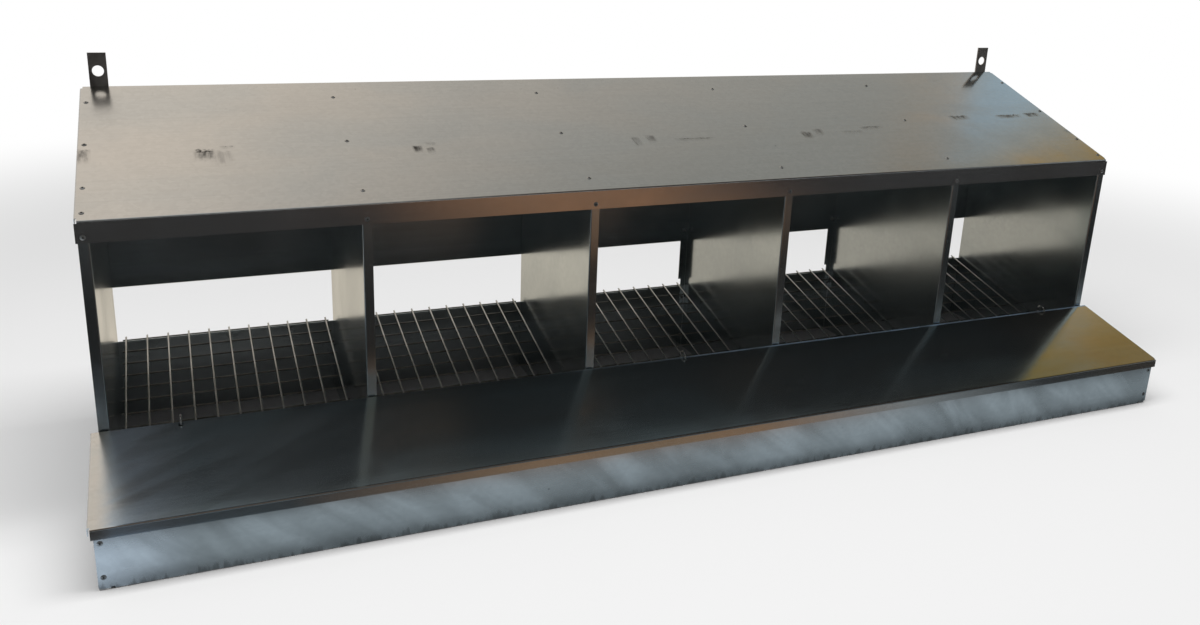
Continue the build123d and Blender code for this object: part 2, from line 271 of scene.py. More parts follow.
def noise(tree, place, scale, detail=2.0, roughness=0.5, distortion=0.0):
    """A noise texture's value, from about 0.25 to 0.75."""
    return add_node(tree, "ShaderNodeTexNoise", {
        "Vector": place, "Scale": scale, "Detail": detail, "Roughness": roughness, "Distortion": distortion,
    }).outputs["Fac"]


def streaks(tree, place, scales, detail=2.0, roughness=0.5):
    """A noise texture's value, with its own scale along each axis."""
    return noise(tree, vector_math(tree, "MULTIPLY", place, scales), 1.0, detail, roughness)


def cells(tree, place, size):
    """Cells of a given size: the distance from a cell's middle, in sizes, and the cell's chance value."""
    scale = calculate(tree, "DIVIDE", 1.0, size)
    cell = add_node(tree, "ShaderNodeTexVoronoi", {"Vector": place, "Scale": scale}, feature="F1").outputs
    chance = add_node(tree, "ShaderNodeSeparateColor", {"Color": cell["Color"]}).outputs["Red"]
    return cell["Distance"], chance


# Node groups: each function takes the group's tree and inputs, and returns its result

def rolling_lines(tree, given):
    """Fine lines that the rolling mill leaves along the sheet."""
    stretched = vector_math(tree, "DIVIDE", given["Vector"], given["Spacing"])
    return remap(tree, noise(tree, stretched, 1.0, 4.0, 0.65), 0.28, 0.72)


def zinc_flakes(tree, given):
    """Faint crystals of the zinc coat."""
    return cells(tree, given["Vector"], given["Size"])[1]


def zinc_clouds(tree, given):
    """Broad soft patches where the coat is duller or brighter."""
    stretched = vector_math(tree, "DIVIDE", given["Vector"], given["Size"])
    return remap(tree, noise(tree, stretched, 1.0, 3.0, 0.5, 0.6), 0.3, 0.7, smooth=True)


def hand_smudges(tree, given):
    """Patches rubbed dull by hands and by other sheets."""
    scale = calculate(tree, "DIVIDE", 1.0, given["Size"])
    where = noise(tree, given["Vector"], scale, 2.0, 0.45, 0.3)
    grain = noise(tree, given["Vector"], product(tree, scale, 7.0), 3.0, 0.6)
    edge = calculate(tree, "SUBTRACT", 0.9, given["Cover"])
    patch = remap(tree, where, edge, calculate(tree, "ADD", edge, 0.4), smooth=True)
    return product(tree, patch, remap(tree, grain, 0.25, 0.75, 0.4, 1.0))


def sheet_waves(tree, given):
    """Height of the long shallow waves in thin sheet, with a little fine texture on them."""
    scale = calculate(tree, "DIVIDE", 1.0, given["Length"])
    waves = product(tree, noise(tree, given["Vector"], scale, 1.0, 0.4), given["Depth"])
    grain = noise(tree, given["Vector"], 420.0, 2.0, 0.6)
    return calculate(tree, "MULTIPLY_ADD", grain, given["Grain"], waves)


def dark_specks(tree, given):
    """Tiny dark specks, far apart."""
    away, chance = cells(tree, given["Vector"], given["Spacing"])
    away = product(tree, away, given["Spacing"])
    radius = product(tree, given["Size"], remap(tree, chance, 0.5, 1.0))
    return remap(tree, away, radius, product(tree, radius, 0.4), smooth=True)


def scuff_mark(tree, given):
    """One rubbed mark: a line across the slope, and strokes that fade out below it."""
    at = axes(tree, vector_math(tree, "SUBTRACT", given["Vector"], given["Centre"]))
    along = calculate(tree, "DIVIDE", calculate(tree, "ABSOLUTE", at["X"]), given["Length"])
    down = calculate(tree, "DIVIDE", product(tree, at["Y"], -1.0), given["Drop"])
    down = calculate(tree, "MULTIPLY_ADD", given["Ragged"], 0.5, calculate(tree, "SUBTRACT", down, 0.25))
    line = product(tree, between(tree, down, (-0.10, 0.04), (0.40, 0.12)), given["Line"])
    strokes = product(tree, between(tree, down, (-0.08, 0.15), (1.1, 0.35), smooth=True), given["Strokes"])
    ends = remap(tree, along, 1.2, 0.5, smooth=True)
    return product(tree, ends, largest(tree, line, strokes))


# Each group's function, the name of its output, and its inputs with their defaults
GROUPS = {
    "Rolling lines": (rolling_lines, "Lines", {"Spacing": (0.6, 0.003, 0.003)}),
    "Zinc flakes": (zinc_flakes, "Flakes", {"Size": 0.006}),
    "Zinc clouds": (zinc_clouds, "Clouds", {"Size": (0.2, 0.2, 0.2)}),
    "Hand smudges": (hand_smudges, "Smudges", {"Size": 0.09, "Cover": 0.5}),
    "Sheet waves": (sheet_waves, "Height", {"Length": 0.16, "Depth": 0.0004, "Grain": 0.000004}),
    "Dark specks": (dark_specks, "Specks", {"Spacing": 0.02, "Size": 0.001}),
    "Scuff mark": (scuff_mark, "Mark", {
        "Centre": (0.0, 0.0, 0.0), "Length": 0.016, "Drop": 0.03, "Ragged": 0.5, "Line": 1.0, "Strokes": 1.0,
    }),
}


def make_group(name):
    """Builds a shader node group, which takes a place and its own inputs."""
    fill, label, inputs = GROUPS[name]
    tree = bpy.data.node_groups.new(name, "ShaderNodeTree")
    for socket_name, default in {"Vector": (0.0, 0.0, 0.0), **inputs}.items():
        kind = "NodeSocketFloat" if isinstance(default, float) else "NodeSocketVector"
        tree.interface.new_socket(socket_name, in_out="INPUT", socket_type=kind).default_value = default
    tree.interface.new_socket(label, in_out="OUTPUT", socket_type="NodeSocketFloat")
    given = tree.nodes.new("NodeGroupInput").outputs
    out = tree.nodes.new("NodeGroupOutput").inputs
    tree.links.new(fill(tree, given), out[label])
    return tree


def use_group(tree, name, **inputs):
    """Places a node group, which is built the first time, and returns its output."""
    group = bpy.data.node_groups.get(name) or make_group(name)
    named = {key.capitalize(): value for key, value in inputs.items()}
    return add_node(tree, "ShaderNodeGroup", named, node_tree=group).outputs[0]


# Materials

def new_material(name):
    """A material with only its output, its node tree and the object coordinates."""
    material = bpy.data.materials.new(name)
    material.use_nodes = True
    tree = material.node_tree
    tree.nodes.clear()
    output = tree.nodes.new("ShaderNodeOutputMaterial")
    place = tree.nodes.new("ShaderNodeTexCoord").outputs["Object"]
    return material, tree, output.inputs["Surface"], place


def set_material(names, material):
    """Gives CAD nodes a material in place of their plain one."""
    for name in names:
        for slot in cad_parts[name].material_slots:
            slot.material = material


def metal_shader(tree, surface, colour, roughness, height, bare=1.0):
    """A metal whose colour, roughness and height come from nodes. bare is the share without matt dust."""
    bump = add_node(tree, "ShaderNodeBump", {"Height": height, "Strength": 1.0, "Distance": 1.0})
    shader = add_node(
        tree, "ShaderNodeBsdfPrincipled",
        {"Base Color": colour, "Metallic": bare, "Roughness": roughness, "Normal": bump.outputs["Normal"]},
    )
    tree.links.new(shader.outputs["BSDF"], surface)


def zinc_sheet(name, zinc, look, marks=None, wiped_and_sheened=None, fold_shade=None, burnish=None, dents=None, tint=None):
    """Bright zinc-coated sheet. The last six are functions of the tree and the place. marks, wiped, crease
    and burnish put out masks: dark rubbed marks, which on the rear panel are painted shade and on the tray's
    foot partly painted shade; hand-smeared patches with a painted bluish sheen; painted shade along the
    front folds; and parts that folding has polished. dents puts out a height, and tint a colour, which on
    the lid is a painted reflection."""
    material, tree, surface, place = new_material(name)
    lines = use_group(
        tree, "Rolling lines", vector=place, spacing=(zinc.line_length, zinc.line_width, zinc.line_width))
    flakes = use_group(tree, "Zinc flakes", vector=place, size=zinc.flake_size)
    slanted = turned(tree, place, (0.0, look.cloud_turn, 0.0))
    clouds = use_group(tree, "Zinc clouds", vector=slanted, size=look.cloud_size)
    smudges = use_group(tree, "Hand smudges", vector=place, size=look.smudge_size, cover=look.smudge_cover)
    specks = use_group(tree, "Dark specks", vector=place, spacing=zinc.speck_spacing, size=zinc.speck_size)
    shade = mix_colour(tree, clouds, look.dull_colour, look.bright_colour)
    for pattern, contrast in ((lines, zinc.line_contrast), (flakes, zinc.flake_contrast)):
        tone = remap(tree, pattern, 0.0, 1.0, 1.0 - contrast, 1.0 + contrast)
        shade = mix_colour(tree, 1.0, shade, tone, "MULTIPLY")
    # tint, on the lid, is a painted reflection
    if tint:
        shade = mix_colour(tree, 1.0, shade, tint(tree, place), "MULTIPLY")
    shade = mix_colour(tree, product(tree, smudges, look.smudge_strength), shade, zinc.smudge_colour)
    shade = mix_colour(tree, specks, shade, zinc.scuff_and_shade_colour)
    rough = remap(
        tree, clouds, 0.0, 1.0, look.roughness + DULL_PATCH_BLUR, look.roughness + BRIGHT_PATCH_BLUR)
    rough = calculate(tree, "MULTIPLY_ADD", smudges, SMUDGE_BLUR, rough)
    rough = calculate(tree, "MULTIPLY_ADD", lines, LINE_BLUR, rough)
    bare = 1.0 - look.dust
    # Dark rubbed marks, and painted shade on the rear panel and the tray's foot
    if marks:
        dark = marks(tree, place)
        shade = mix_colour(tree, dark, shade, zinc.scuff_and_shade_colour)
        rough = calculate(tree, "MULTIPLY_ADD", dark, SCUFF_AND_SHADE_BLUR, rough)
    # Smeared patches with a painted bluish sheen
    if wiped_and_sheened:
        smears_and_sheen = wiped_and_sheened(tree, place)
        cover = calculate(tree, "MULTIPLY", smears_and_sheen, SMEAR_AND_SHEEN_COVER, clamp=True)
        shade = mix_colour(tree, cover, shade, zinc.smear_and_sheen_colour)
        rough = calculate(tree, "MULTIPLY_ADD", smears_and_sheen, SMEAR_AND_SHEEN_BLUR, rough)
        bare = remap(tree, smears_and_sheen, 0.0, 1.0, bare, bare - SMEAR_AND_SHEEN_DUST)
    # Painted shade along the front folds
    if fold_shade:
        shade = mix_colour(tree, fold_shade(tree, place), shade, zinc.fold_shade_colour)
    if burnish:
        rough = product(tree, rough, remap(tree, burnish(tree, place), 0.0, 1.0, 1.0, POLISHED_ROUGHNESS))
    height = use_group(tree, "Sheet waves", vector=place, length=look.wave_length, depth=look.wave_depth)
    if dents:
        height = calculate(tree, "ADD", height, dents(tree, place))
    metal_shader(tree, surface, shade, rough, height, bare)
    return material


def front_fold(tree, place, node):
    """The bend between a sheet and its front lip."""
    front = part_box(node)[0].y
    return between(
        tree, axes(tree, place)["Y"], (front + 0.0001, front + 0.0004), (front + 0.0017, front + 0.0012))


def roof_fold_shade(tree, place):
    """Painted shade along the bend between the roof and its front lip, along the middle."""
    middle = between(tree, axes(tree, place)["X"], (-0.45, -0.2), (0.40, 0.30))
    return product(tree, front_fold(tree, place, "roof_sheet"), middle)


def roof_scuffs(tree, place):
    """The rubbed marks along the middle of the roof, as one mask."""
    ragged = noise(tree, place, 160.0, 2.0, 0.6)
    grains = remap(tree, noise(tree, place, 340.0, 2.0, 0.6), 0.38, 0.60)
    strokes = remap(tree, streaks(tree, place, (220.0, 45.0, 45.0), 2.0, 0.6), 0.38, 0.62, 0.3, 1.0)
    marks = [
        use_group(
            tree, "Scuff mark", vector=place, centre=(x, y, 0.0), length=length, drop=drop, ragged=ragged,
            line=product(tree, grains, line_dark), strokes=product(tree, strokes, stroke_dark))
        for x, y, length, drop, line_dark, stroke_dark in ROOF_SCUFFS
    ]
    return largest(tree, *marks)


def rear_panel_painted_shade(tree, place):
    """Painted shade behind the wires, high on the inner face of the rear lower panel, and thinner on the
    left.
    """
    low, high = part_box("rear_lower_panel")
    at = axes(tree, place)
    face = between(tree, at["Y"], (low.y - 0.0006, low.y - 0.0003), (low.y + 0.0006, low.y + 0.0003))
    height = between(tree, at["Z"], (high.z - 0.048, high.z - 0.020), (high.z + 0.004, high.z + 0.002))
    return product(tree, face, height, remap(tree, at["X"], -0.55, -0.1, 0.24, 0.57))


def lid_lip(tree, place):
    """The lid's folded front lip."""
    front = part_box("egg_lid")[0].y
    return remap(tree, axes(tree, place)["Y"], front + 0.003, front + 0.002)


def lid_fold_shade(tree, place):
    """Painted shade along the bend between the lid and its front lip."""
    return front_fold(tree, place, "egg_lid")


def lid_smear_and_painted_sheen(tree, place):
    """Hand-smeared patches near the lid's left end, tinted blue as a painted sheen, and a painted sheen
    along the back edge towards the right.
    """
    left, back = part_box("egg_lid")[0].x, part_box("egg_lid")[1].y
    at = axes(tree, place)
    strong = remap(tree, at["X"], left + 0.03, left + 0.11, 0.27, 0.0, smooth=True)
    broad = remap(tree, at["X"], left + 0.03, left + 0.40, 0.19, 0.0, smooth=True)
    off_end = remap(tree, at["X"], left + 0.005, left + 0.025, smooth=True)
    smears_and_sheen = product(tree, calculate(tree, "ADD", strong, broad), off_end)
    edge = product(
        tree, remap(tree, at["Y"], back - 0.0052, back - 0.0046), remap(tree, at["X"], -0.22, 0.22))
    slanted = turned(tree, place, (0.0, 0.0, math.radians(-25.0)))
    smear_and_sheen_patches = use_group(tree, "Zinc clouds", vector=slanted, size=(0.16, 0.025, 0.1))
    return product(tree, largest(tree, smears_and_sheen, edge), remap(tree, smear_and_sheen_patches, 0.0, 1.0, 0.5, 1.0))


def lid_painted_reflection(tree, place):
    """Painted reflection: cool along the lid's length, warm at both ends."""
    left, right = (corner.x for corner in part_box("egg_lid"))
    cool = (0.94, 1.015, 1.04)
    return colour_ramp(tree, axes(tree, place)["X"], (
        (left + 0.03, (1.14, 1.04, 0.99)), (left + 0.10, cool), (right - 0.22, cool),
        (right - 0.09, (1.07, 0.97, 0.87)),
    ))


def foot_dents(tree, place):
    """Height of the small dents along the tray's foot."""
    depth = remap(tree, axes(tree, place)["Z"], 0.026, 0.0, 0.0, 0.0016, smooth=True)
    return product(tree, streaks(tree, place, (45.0, 45.0, 14.0)), depth)


def foot_dirt_and_painted_shade(tree, place):
    """The dark edge along the tray's foot, ragged at the top: partly dirt, partly painted contact shade."""
    ragged = streaks(tree, place, (130.0, 130.0, 25.0), 3.0, 0.6)
    height = calculate(tree, "MULTIPLY_ADD", ragged, -0.03, axes(tree, place)["Z"])
    return remap(tree, height, -0.008, -0.016, 0.0, 0.45, smooth=True)


def lower_wire_painted_shade(tree, place):
    """Mask of the floors' wires that run across, which lie under the long ones, for the painted shade on
    them.
    """
    point, run = crossings(FLOOR_NODES[0])[0]
    up = Vector((0.0, -run.z, run.y))
    above = vector_math(tree, "DOT_PRODUCT", place, up, output="Value")
    return remap(tree, above, point.dot(up) + 0.0003, point.dot(up) - 0.0003)


def drawn_wire(name, look, shade_mask=None):
    """Drawn wire and other small parts: duller in patches, with fine pits. grime is a function of the tree
    and the place, and puts out a mask of the parts darkened by painted shade."""
    material, tree, surface, place = new_material(name)
    clouds = use_group(tree, "Zinc clouds", vector=place, size=WIRE_CLOUD_SIZE)
    smudges = use_group(tree, "Hand smudges", vector=place, size=WIRE_SMUDGE_SIZE, cover=WIRE_SMUDGE_COVER)
    shade = mix_colour(tree, clouds, look.dull_colour, look.bright_colour)
    shade = mix_colour(tree, product(tree, smudges, WIRE_SMUDGE_STRENGTH), shade, look.dull_colour)
    rough = calculate(tree, "MULTIPLY_ADD", smudges, WIRE_SMUDGE_BLUR, look.roughness)
    # Painted shade on the wires that lie underneath, varied a little by the smudges
    if shade_mask:
        shaded_share = product(tree, shade_mask(tree, place), remap(tree, smudges, 0.0, 0.6, 0.65, 0.9))
        shade = mix_colour(tree, shaded_share, shade, LOWER_WIRE_SHADE_COLOUR)
    height = use_group(tree, "Sheet waves", vector=place, length=WIRE_PIT_SPACING, depth=WIRE_PIT_DEPTH)
    metal_shader(tree, surface, shade, rough, height)
    return material


# Meshes

def loose_parts(name):
    """Corners of each separate solid in a CAD node, as lists of points."""
    work = bmesh.new()
    work.from_mesh(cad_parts[name].data)
    bmesh.ops.remove_doubles(work, verts=work.verts, dist=SAME_POINT)
    parts = []
    left = set(work.verts)
    while left:
        waiting = [left.pop()]
        points = []
        while waiting:
            corner = waiting.pop()
            points.append(corner.co.copy())
            for edge in corner.link_edges:
                other = edge.other_vert(corner)
                if other in left:
                    left.remove(other)
                    waiting.append(other)
        parts.append(points)
    work.free()
    return parts


def extent(points):
    """Lowest and highest corners of a list of points."""
    low = Vector(min(p[i] for p in points) for i in range(3))
    high = Vector(max(p[i] for p in points) for i in range(3))
    return low, high


def crossings(name):
    """Where the wires of a floor cross, each as the point between them and the slope of the long wires."""
    long_wires = []
    cross_wires = []
    for points in loose_parts(name):
        low, high = extent(points)
        runs_across = high.x - low.x > high.y - low.y
        (cross_wires if runs_across else long_wires).append((low, high))
    found = []
    for low, high in long_wires:
        run = Vector((0.0, high.y - low.y, high.z - low.z)).normalized()
        start = (low + high) / 2
        for cross_low, cross_high in cross_wires:
            on_cross = (cross_low + cross_high) / 2
            on_cross.x = start.x
            on_long = start + run * (on_cross - start).dot(run)
            found.append(((on_long + on_cross) / 2, run))
    return found


def roof_side():
    """The way that the roof's top face looks, from the roof's largest triangle."""
    widest = max(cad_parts["roof_sheet"].data.polygons, key=lambda face: face.area)
    return widest.normal if widest.normal.z > 0 else -widest.normal


def rivet_side(name):
    """The way that the heads of a group of rivets look."""
    if name.startswith("roof"):
        return roof_side()
    return Vector((0.0, 1.0 if name.startswith(("rear", "tab")) else -1.0, 0.0))


def new_object(work, name, material):
    """Turns a bmesh into an object with one material."""
    mesh = bpy.data.meshes.new(name)
    work.to_mesh(mesh)
    work.free()
    mesh.materials.append(material)
    made = bpy.data.objects.new(name, mesh)
    bpy.context.scene.collection.objects.link(made)
    return made


def finish_piece(work, name, material, body):
    """Turns a bmesh into a piece that rides on a CAD body."""
    bmesh.ops.recalc_face_normals(work, faces=work.faces)
    piece = new_object(work, name, material)
    piece.data.shade_smooth()
    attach(piece, body)


def stage_piece(work, name, material):
    """Turns a bmesh into a studio object, just as new_object does."""
    piece = new_object(work, name, material)
    return piece


def mirror_only(piece):
    """Leaves a stage piece to be seen in reflections only."""
    for ray in ("camera", "diffuse", "transmission", "volume_scatter", "shadow"):
        setattr(piece, f"visible_{ray}", False)


# Settings

def colour_setting(name, description, default):
    """A colour among the settings."""
    return FloatVectorProperty(
        name=name, description=description, default=default, min=0.0, max=1.0, subtype="COLOR")


def share_setting(name, description, default):
    """A share from 0 to 1 among the settings."""
    return FloatProperty(
        name=name, description=description, default=default, min=0.0, max=1.0, subtype="FACTOR")


def length_setting(name, description, default):
    """A length among the settings."""
    return FloatProperty(
        name=name, description=description, default=default, min=SMALLEST_LENGTH, unit="LENGTH")


def settings_of(kind, name, description):
    """A group of settings inside another."""
    return PointerProperty(type=kind, name=name, description=description)


class ZincSettings(bpy.types.PropertyGroup):
    line_length: length_setting("Rolling line length", "Length of the lines left by the rolling mill", 0.5)
    line_width: length_setting(
        "Rolling line width", "Distance between the lines left by the rolling mill", 0.0022)
    line_contrast: share_setting(
        "Rolling line contrast", "How much the rolling lines change the zinc's brightness", 0.03)
    flake_size: length_setting("Flake size", "Width of the zinc's crystals", 0.005)
    flake_contrast: share_setting(
        "Flake contrast", "How much the crystals change the zinc's brightness", 0.025)
    smudge_colour: colour_setting("Smudge colour", "Colour of zinc dulled by hands", (0.34, 0.34, 0.34))
    # The smear colour is blue: a painted sheen on the lid's smeared patches.
    smear_and_sheen_colour: colour_setting("Smear colour", "Colour of zinc under a wiped smear", (0.40, 0.56, 0.74))
    # The crease colour is painted shade along the front folds of the roof and the lid.
    fold_shade_colour: colour_setting("Crease colour", "Colour of zinc dulled by a bend", (0.16, 0.13, 0.11))
    speck_spacing: length_setting("Speck spacing", "Distance between places for a dark speck", 0.023)
    speck_size: length_setting("Speck size", "Radius of the largest dark specks", 0.0011)
    # The scuff colour is also the colour of the painted shade on the rear panel and the tray's foot.
    scuff_and_shade_colour: colour_setting("Scuff colour", "Colour of the dark rubbed marks", (0.06, 0.055, 0.05))


def metal_look(label, bright, dull, roughness):
    """Property declarations of one kind of metal, with its own defaults."""
    return {
        "bright_colour": colour_setting(
            "Bright colour", f"Colour of the {label} in bright or rubbed places", bright),
        "dull_colour": colour_setting("Dull colour", f"Colour of the {label} in dull places", dull),
        "roughness": share_setting("Roughness", f"How blurred reflections in the {label} are", roughness),
    }


def sheet_look(label, bright, dull, roughness, clouds, smudges, waves, slant=0.0, dust=0.0):
    """Property declarations of one kind of sheet, with its own defaults. smudges are size, cover and
    strength, and waves are length and depth."""
    return {
        **metal_look(label, bright, dull, roughness),
        "cloud_size": FloatVectorProperty(
            name="Cloud size", description=f"Size of the bright and dull patches on the {label}",
            default=clouds, min=SMALLEST_LENGTH, unit="LENGTH"),
        "cloud_turn": FloatProperty(
            name="Cloud turn", description=f"Slant of the bright and dull patches on the {label}",
            default=math.radians(slant), subtype="ANGLE"),
        "smudge_size": length_setting("Smudge size", f"Size of the hand marks on the {label}", smudges[0]),
        "smudge_cover": share_setting("Smudge cover", f"Share of the {label} with hand marks", smudges[1]),
        "smudge_strength": share_setting(
            "Smudge strength", f"How dull the hand marks on the {label} are", smudges[2]),
        "wave_length": length_setting("Wave length", f"Distance between waves in the {label}", waves[0]),
        "wave_depth": length_setting("Wave depth", f"Depth of the waves in the {label}", waves[1]),
        "dust": share_setting("Dust", f"Share of the {label} that matt dust covers", dust),
    }


class RoofSettings(bpy.types.PropertyGroup):
    __annotations__ = sheet_look(
        "roof", bright=(0.63, 0.62, 0.61), dull=(0.59, 0.60, 0.605), roughness=0.145,
        clouds=(0.20, 0.10, 0.10), smudges=(0.10, 0.46, 0.10), waves=(0.30, 0.0004))


class WallSettings(bpy.types.PropertyGroup):
    __annotations__ = sheet_look(
        "nest walls", bright=(0.565, 0.61, 0.615), dull=(0.515, 0.56, 0.57), roughness=0.17,
        clouds=(0.16, 0.16, 0.12), smudges=(0.10, 0.46, 0.06), waves=(0.20, 0.0004))


class LidSettings(bpy.types.PropertyGroup):
    __annotations__ = sheet_look(
        "egg lid", bright=(0.60, 0.615, 0.62), dull=(0.51, 0.58, 0.615), roughness=0.125,
        clouds=(0.30, 0.10, 0.10), smudges=(0.09, 0.46, 0.10), waves=(0.24, 0.0004), dust=0.0145)


class TraySettings(bpy.types.PropertyGroup):
    __annotations__ = sheet_look(
        "egg tray", bright=(0.70, 0.72, 0.74), dull=(0.48, 0.495, 0.505), roughness=0.22,
        clouds=(0.17, 0.17, 0.048), smudges=(0.06, 0.46, 0.06), waves=(0.09, 0.0008), slant=-40.0)


class WireSettings(bpy.types.PropertyGroup):
    __annotations__ = {
        **metal_look("floor wires", bright=(0.52, 0.52, 0.50), dull=(0.34, 0.34, 0.32), roughness=0.30),
        "weld_width": length_setting("Weld width", "Width of the squeezed metal at a crossing", 0.0030),
        "weld_height": length_setting("Weld height", "Height of the squeezed metal at a crossing", 0.0017),
    }


class RingSettings(bpy.types.PropertyGroup):
    __annotations__ = metal_look(
        "hinge rings", bright=(0.58, 0.57, 0.55), dull=(0.26, 0.25, 0.23), roughness=0.26)


class TabSettings(bpy.types.PropertyGroup):
    __annotations__ = metal_look(
        "hanging tabs", bright=(0.30, 0.28, 0.26), dull=(0.13, 0.115, 0.105), roughness=0.42)


class RivetSettings(bpy.types.PropertyGroup):
    __annotations__ = metal_look(
        "rivet heads", bright=(0.44, 0.435, 0.43), dull=(0.22, 0.215, 0.21), roughness=0.34)


class StemSettings(bpy.types.PropertyGroup):
    __annotations__ = {
        **metal_look("broken stems", bright=(0.12, 0.115, 0.11), dull=(0.08, 0.075, 0.07), roughness=0.5),
        "width": length_setting("Width", "Width of the broken stem in a rivet head", 0.0021),
        "height": length_setting(
            "Height", "Height of the broken stem, half of it above the rivet's head", 0.0005),
    }


class StageSettings(bpy.types.PropertyGroup):
    floor_colour: colour_setting("Floor colour", "Colour of the studio floor", (0.88, 0.88, 0.88))
    floor_radius: length_setting("Floor radius", "Radius of the studio floor", 40.0)
    world_light: FloatProperty(
        name="World light", description="Strength of the even light from all round", default=0.20, min=0.0)
    lamp_power: FloatProperty(
        name="Lamp power", description="Power of the soft lamp above", default=108.0, min=0.0, unit="POWER")
    lamp_size: FloatVectorProperty(
        name="Lamp size", description="Length and width of the soft lamp", size=2,
        default=(5.0, 1.2), min=SMALLEST_LENGTH, unit="LENGTH")
    lamp_place: FloatVectorProperty(
        name="Lamp place", description="Where the lamp hangs", default=(-0.2, -0.3, 3.0), unit="LENGTH")
    camera_place: FloatVectorProperty(
        name="Camera place", description="Where the camera stands",
        default=(-0.5895, -1.1702, 0.6210), unit="LENGTH")
    camera_turn: FloatVectorProperty(
        name="Camera turn", description="Turn towards the right end, tilt down and roll of the camera",
        default=(math.radians(22.8985), math.radians(16.5868), math.radians(2.2391)), unit="ROTATION")
    camera_lens: FloatProperty(
        name="Camera lens", description="Focal length", default=31.096, min=1.0, unit="CAMERA")
    camera_drop: share_setting(
        "Camera drop", "How far the picture is shifted down, as a share of its width", 0.05675)


class NestBoxSettings(bpy.types.PropertyGroup):
    zinc: settings_of(ZincSettings, "Zinc", "Patterns and marks of the sheets")
    roof: settings_of(RoofSettings, "Roof", "Finish of the roof sheet")
    walls: settings_of(WallSettings, "Nest walls", "Finish of the nest walls")
    lid: settings_of(LidSettings, "Egg lid", "Finish of the egg lid")
    tray: settings_of(TraySettings, "Egg tray", "Finish of the egg tray")
    wire: settings_of(WireSettings, "Wire floors", "Finish of the wires and welds")
    rings: settings_of(RingSettings, "Hinge rings", "Finish of the hinge rings")
    tabs: settings_of(TabSettings, "Hanging tabs", "Finish of the tabs")
    rivets: settings_of(RivetSettings, "Rivets", "Finish of the rivet heads")
    stems: settings_of(StemSettings, "Rivet stems", "Size and finish of stems")
    stage: settings_of(StageSettings, "Studio", "Floor, light and camera")


# Operators

class NESTBOX_OT_roof(bpy.types.Operator):
    """Finish the roof sheet in bright zinc with rubbed marks"""
    bl_idname = "nest_box.roof"
    bl_label = "Roof Sheet"

    def execute(self, context):
        look = context.scene.nest_box
        set_material(("roof_sheet",), zinc_sheet(
            "zinc_roof", look.zinc, look.roof, marks=roof_scuffs, fold_shade=roof_fold_shade))
        return {"FINISHED"}


class NESTBOX_OT_walls(bpy.types.Operator):
    """Finish the end panels, dividers, rear panels and rail in bright zinc"""
    bl_idname = "nest_box.walls"
    bl_label = "Nest Walls"

    def execute(self, context):
        look = context.scene.nest_box
        # The rear lower panel's marks are painted shade behind the wires.
        set_material(WALL_NODES, zinc_sheet("zinc_walls", look.zinc, look.walls, marks=rear_panel_painted_shade))
        return {"FINISHED"}


class NESTBOX_OT_lid(bpy.types.Operator):
    """Finish the egg lid in bright zinc"""
    bl_idname = "nest_box.lid"
    bl_label = "Egg Lid"

    def execute(self, context):
        look = context.scene.nest_box
        set_material(("egg_lid",), zinc_sheet(
            "zinc_lid", look.zinc, look.lid, wiped_and_sheened=lid_smear_and_painted_sheen, fold_shade=lid_fold_shade, burnish=lid_lip,
            tint=lid_painted_reflection))
        return {"FINISHED"}


class NESTBOX_OT_tray(bpy.types.Operator):
    """Finish the egg tray in cloudy zinc"""
    bl_idname = "nest_box.tray"
    bl_label = "Egg Tray"

    def execute(self, context):
        look = context.scene.nest_box
        set_material(TRAY_NODES, zinc_sheet(
            "zinc_tray", look.zinc, look.tray, marks=foot_dirt_and_painted_shade, dents=foot_dents))
        return {"FINISHED"}


class NESTBOX_OT_wire_floors(bpy.types.Operator):
    """Finish the wire floors and add the weld spots where their wires cross"""
    bl_idname = "nest_box.wire_floors"
    bl_label = "Wire Floors"

    def execute(self, context):
        wire = context.scene.nest_box.wire
        material = drawn_wire("zinc_wire", wire, lower_wire_painted_shade)
        set_material(FLOOR_NODES, material)
        size = Matrix.Diagonal((wire.weld_width / 2, wire.weld_width / 2, wire.weld_height / 2, 1.0))
        for number, name in enumerate(FLOOR_NODES, 1):
            work = bmesh.new()
            for point, run in crossings(name):
                tilt = Matrix.Rotation(math.atan2(run.z, run.y), 4, "X")
                bmesh.ops.create_icosphere(
                    work, subdivisions=1, radius=1.0, matrix=Matrix.Translation(point) @ tilt @ size)
            finish_piece(work, f"floor_{number}_welds", material, f"floor_{number}")
        return {"FINISHED"}


class NESTBOX_OT_rings(bpy.types.Operator):
    """Finish the wire rings that hinge the lid"""
    bl_idname = "nest_box.rings"
    bl_label = "Hinge Rings"

    def execute(self, context):
        set_material(RING_NODES, drawn_wire("ring_wire_zinc", context.scene.nest_box.rings))
        return {"FINISHED"}


class NESTBOX_OT_tabs(bpy.types.Operator):
    """Finish the two hanging tabs in darkened steel"""
    bl_idname = "nest_box.tabs"
    bl_label = "Hanging Tabs"

    def execute(self, context):
        set_material(TAB_NODES, drawn_wire("tab_steel", context.scene.nest_box.tabs))
        return {"FINISHED"}


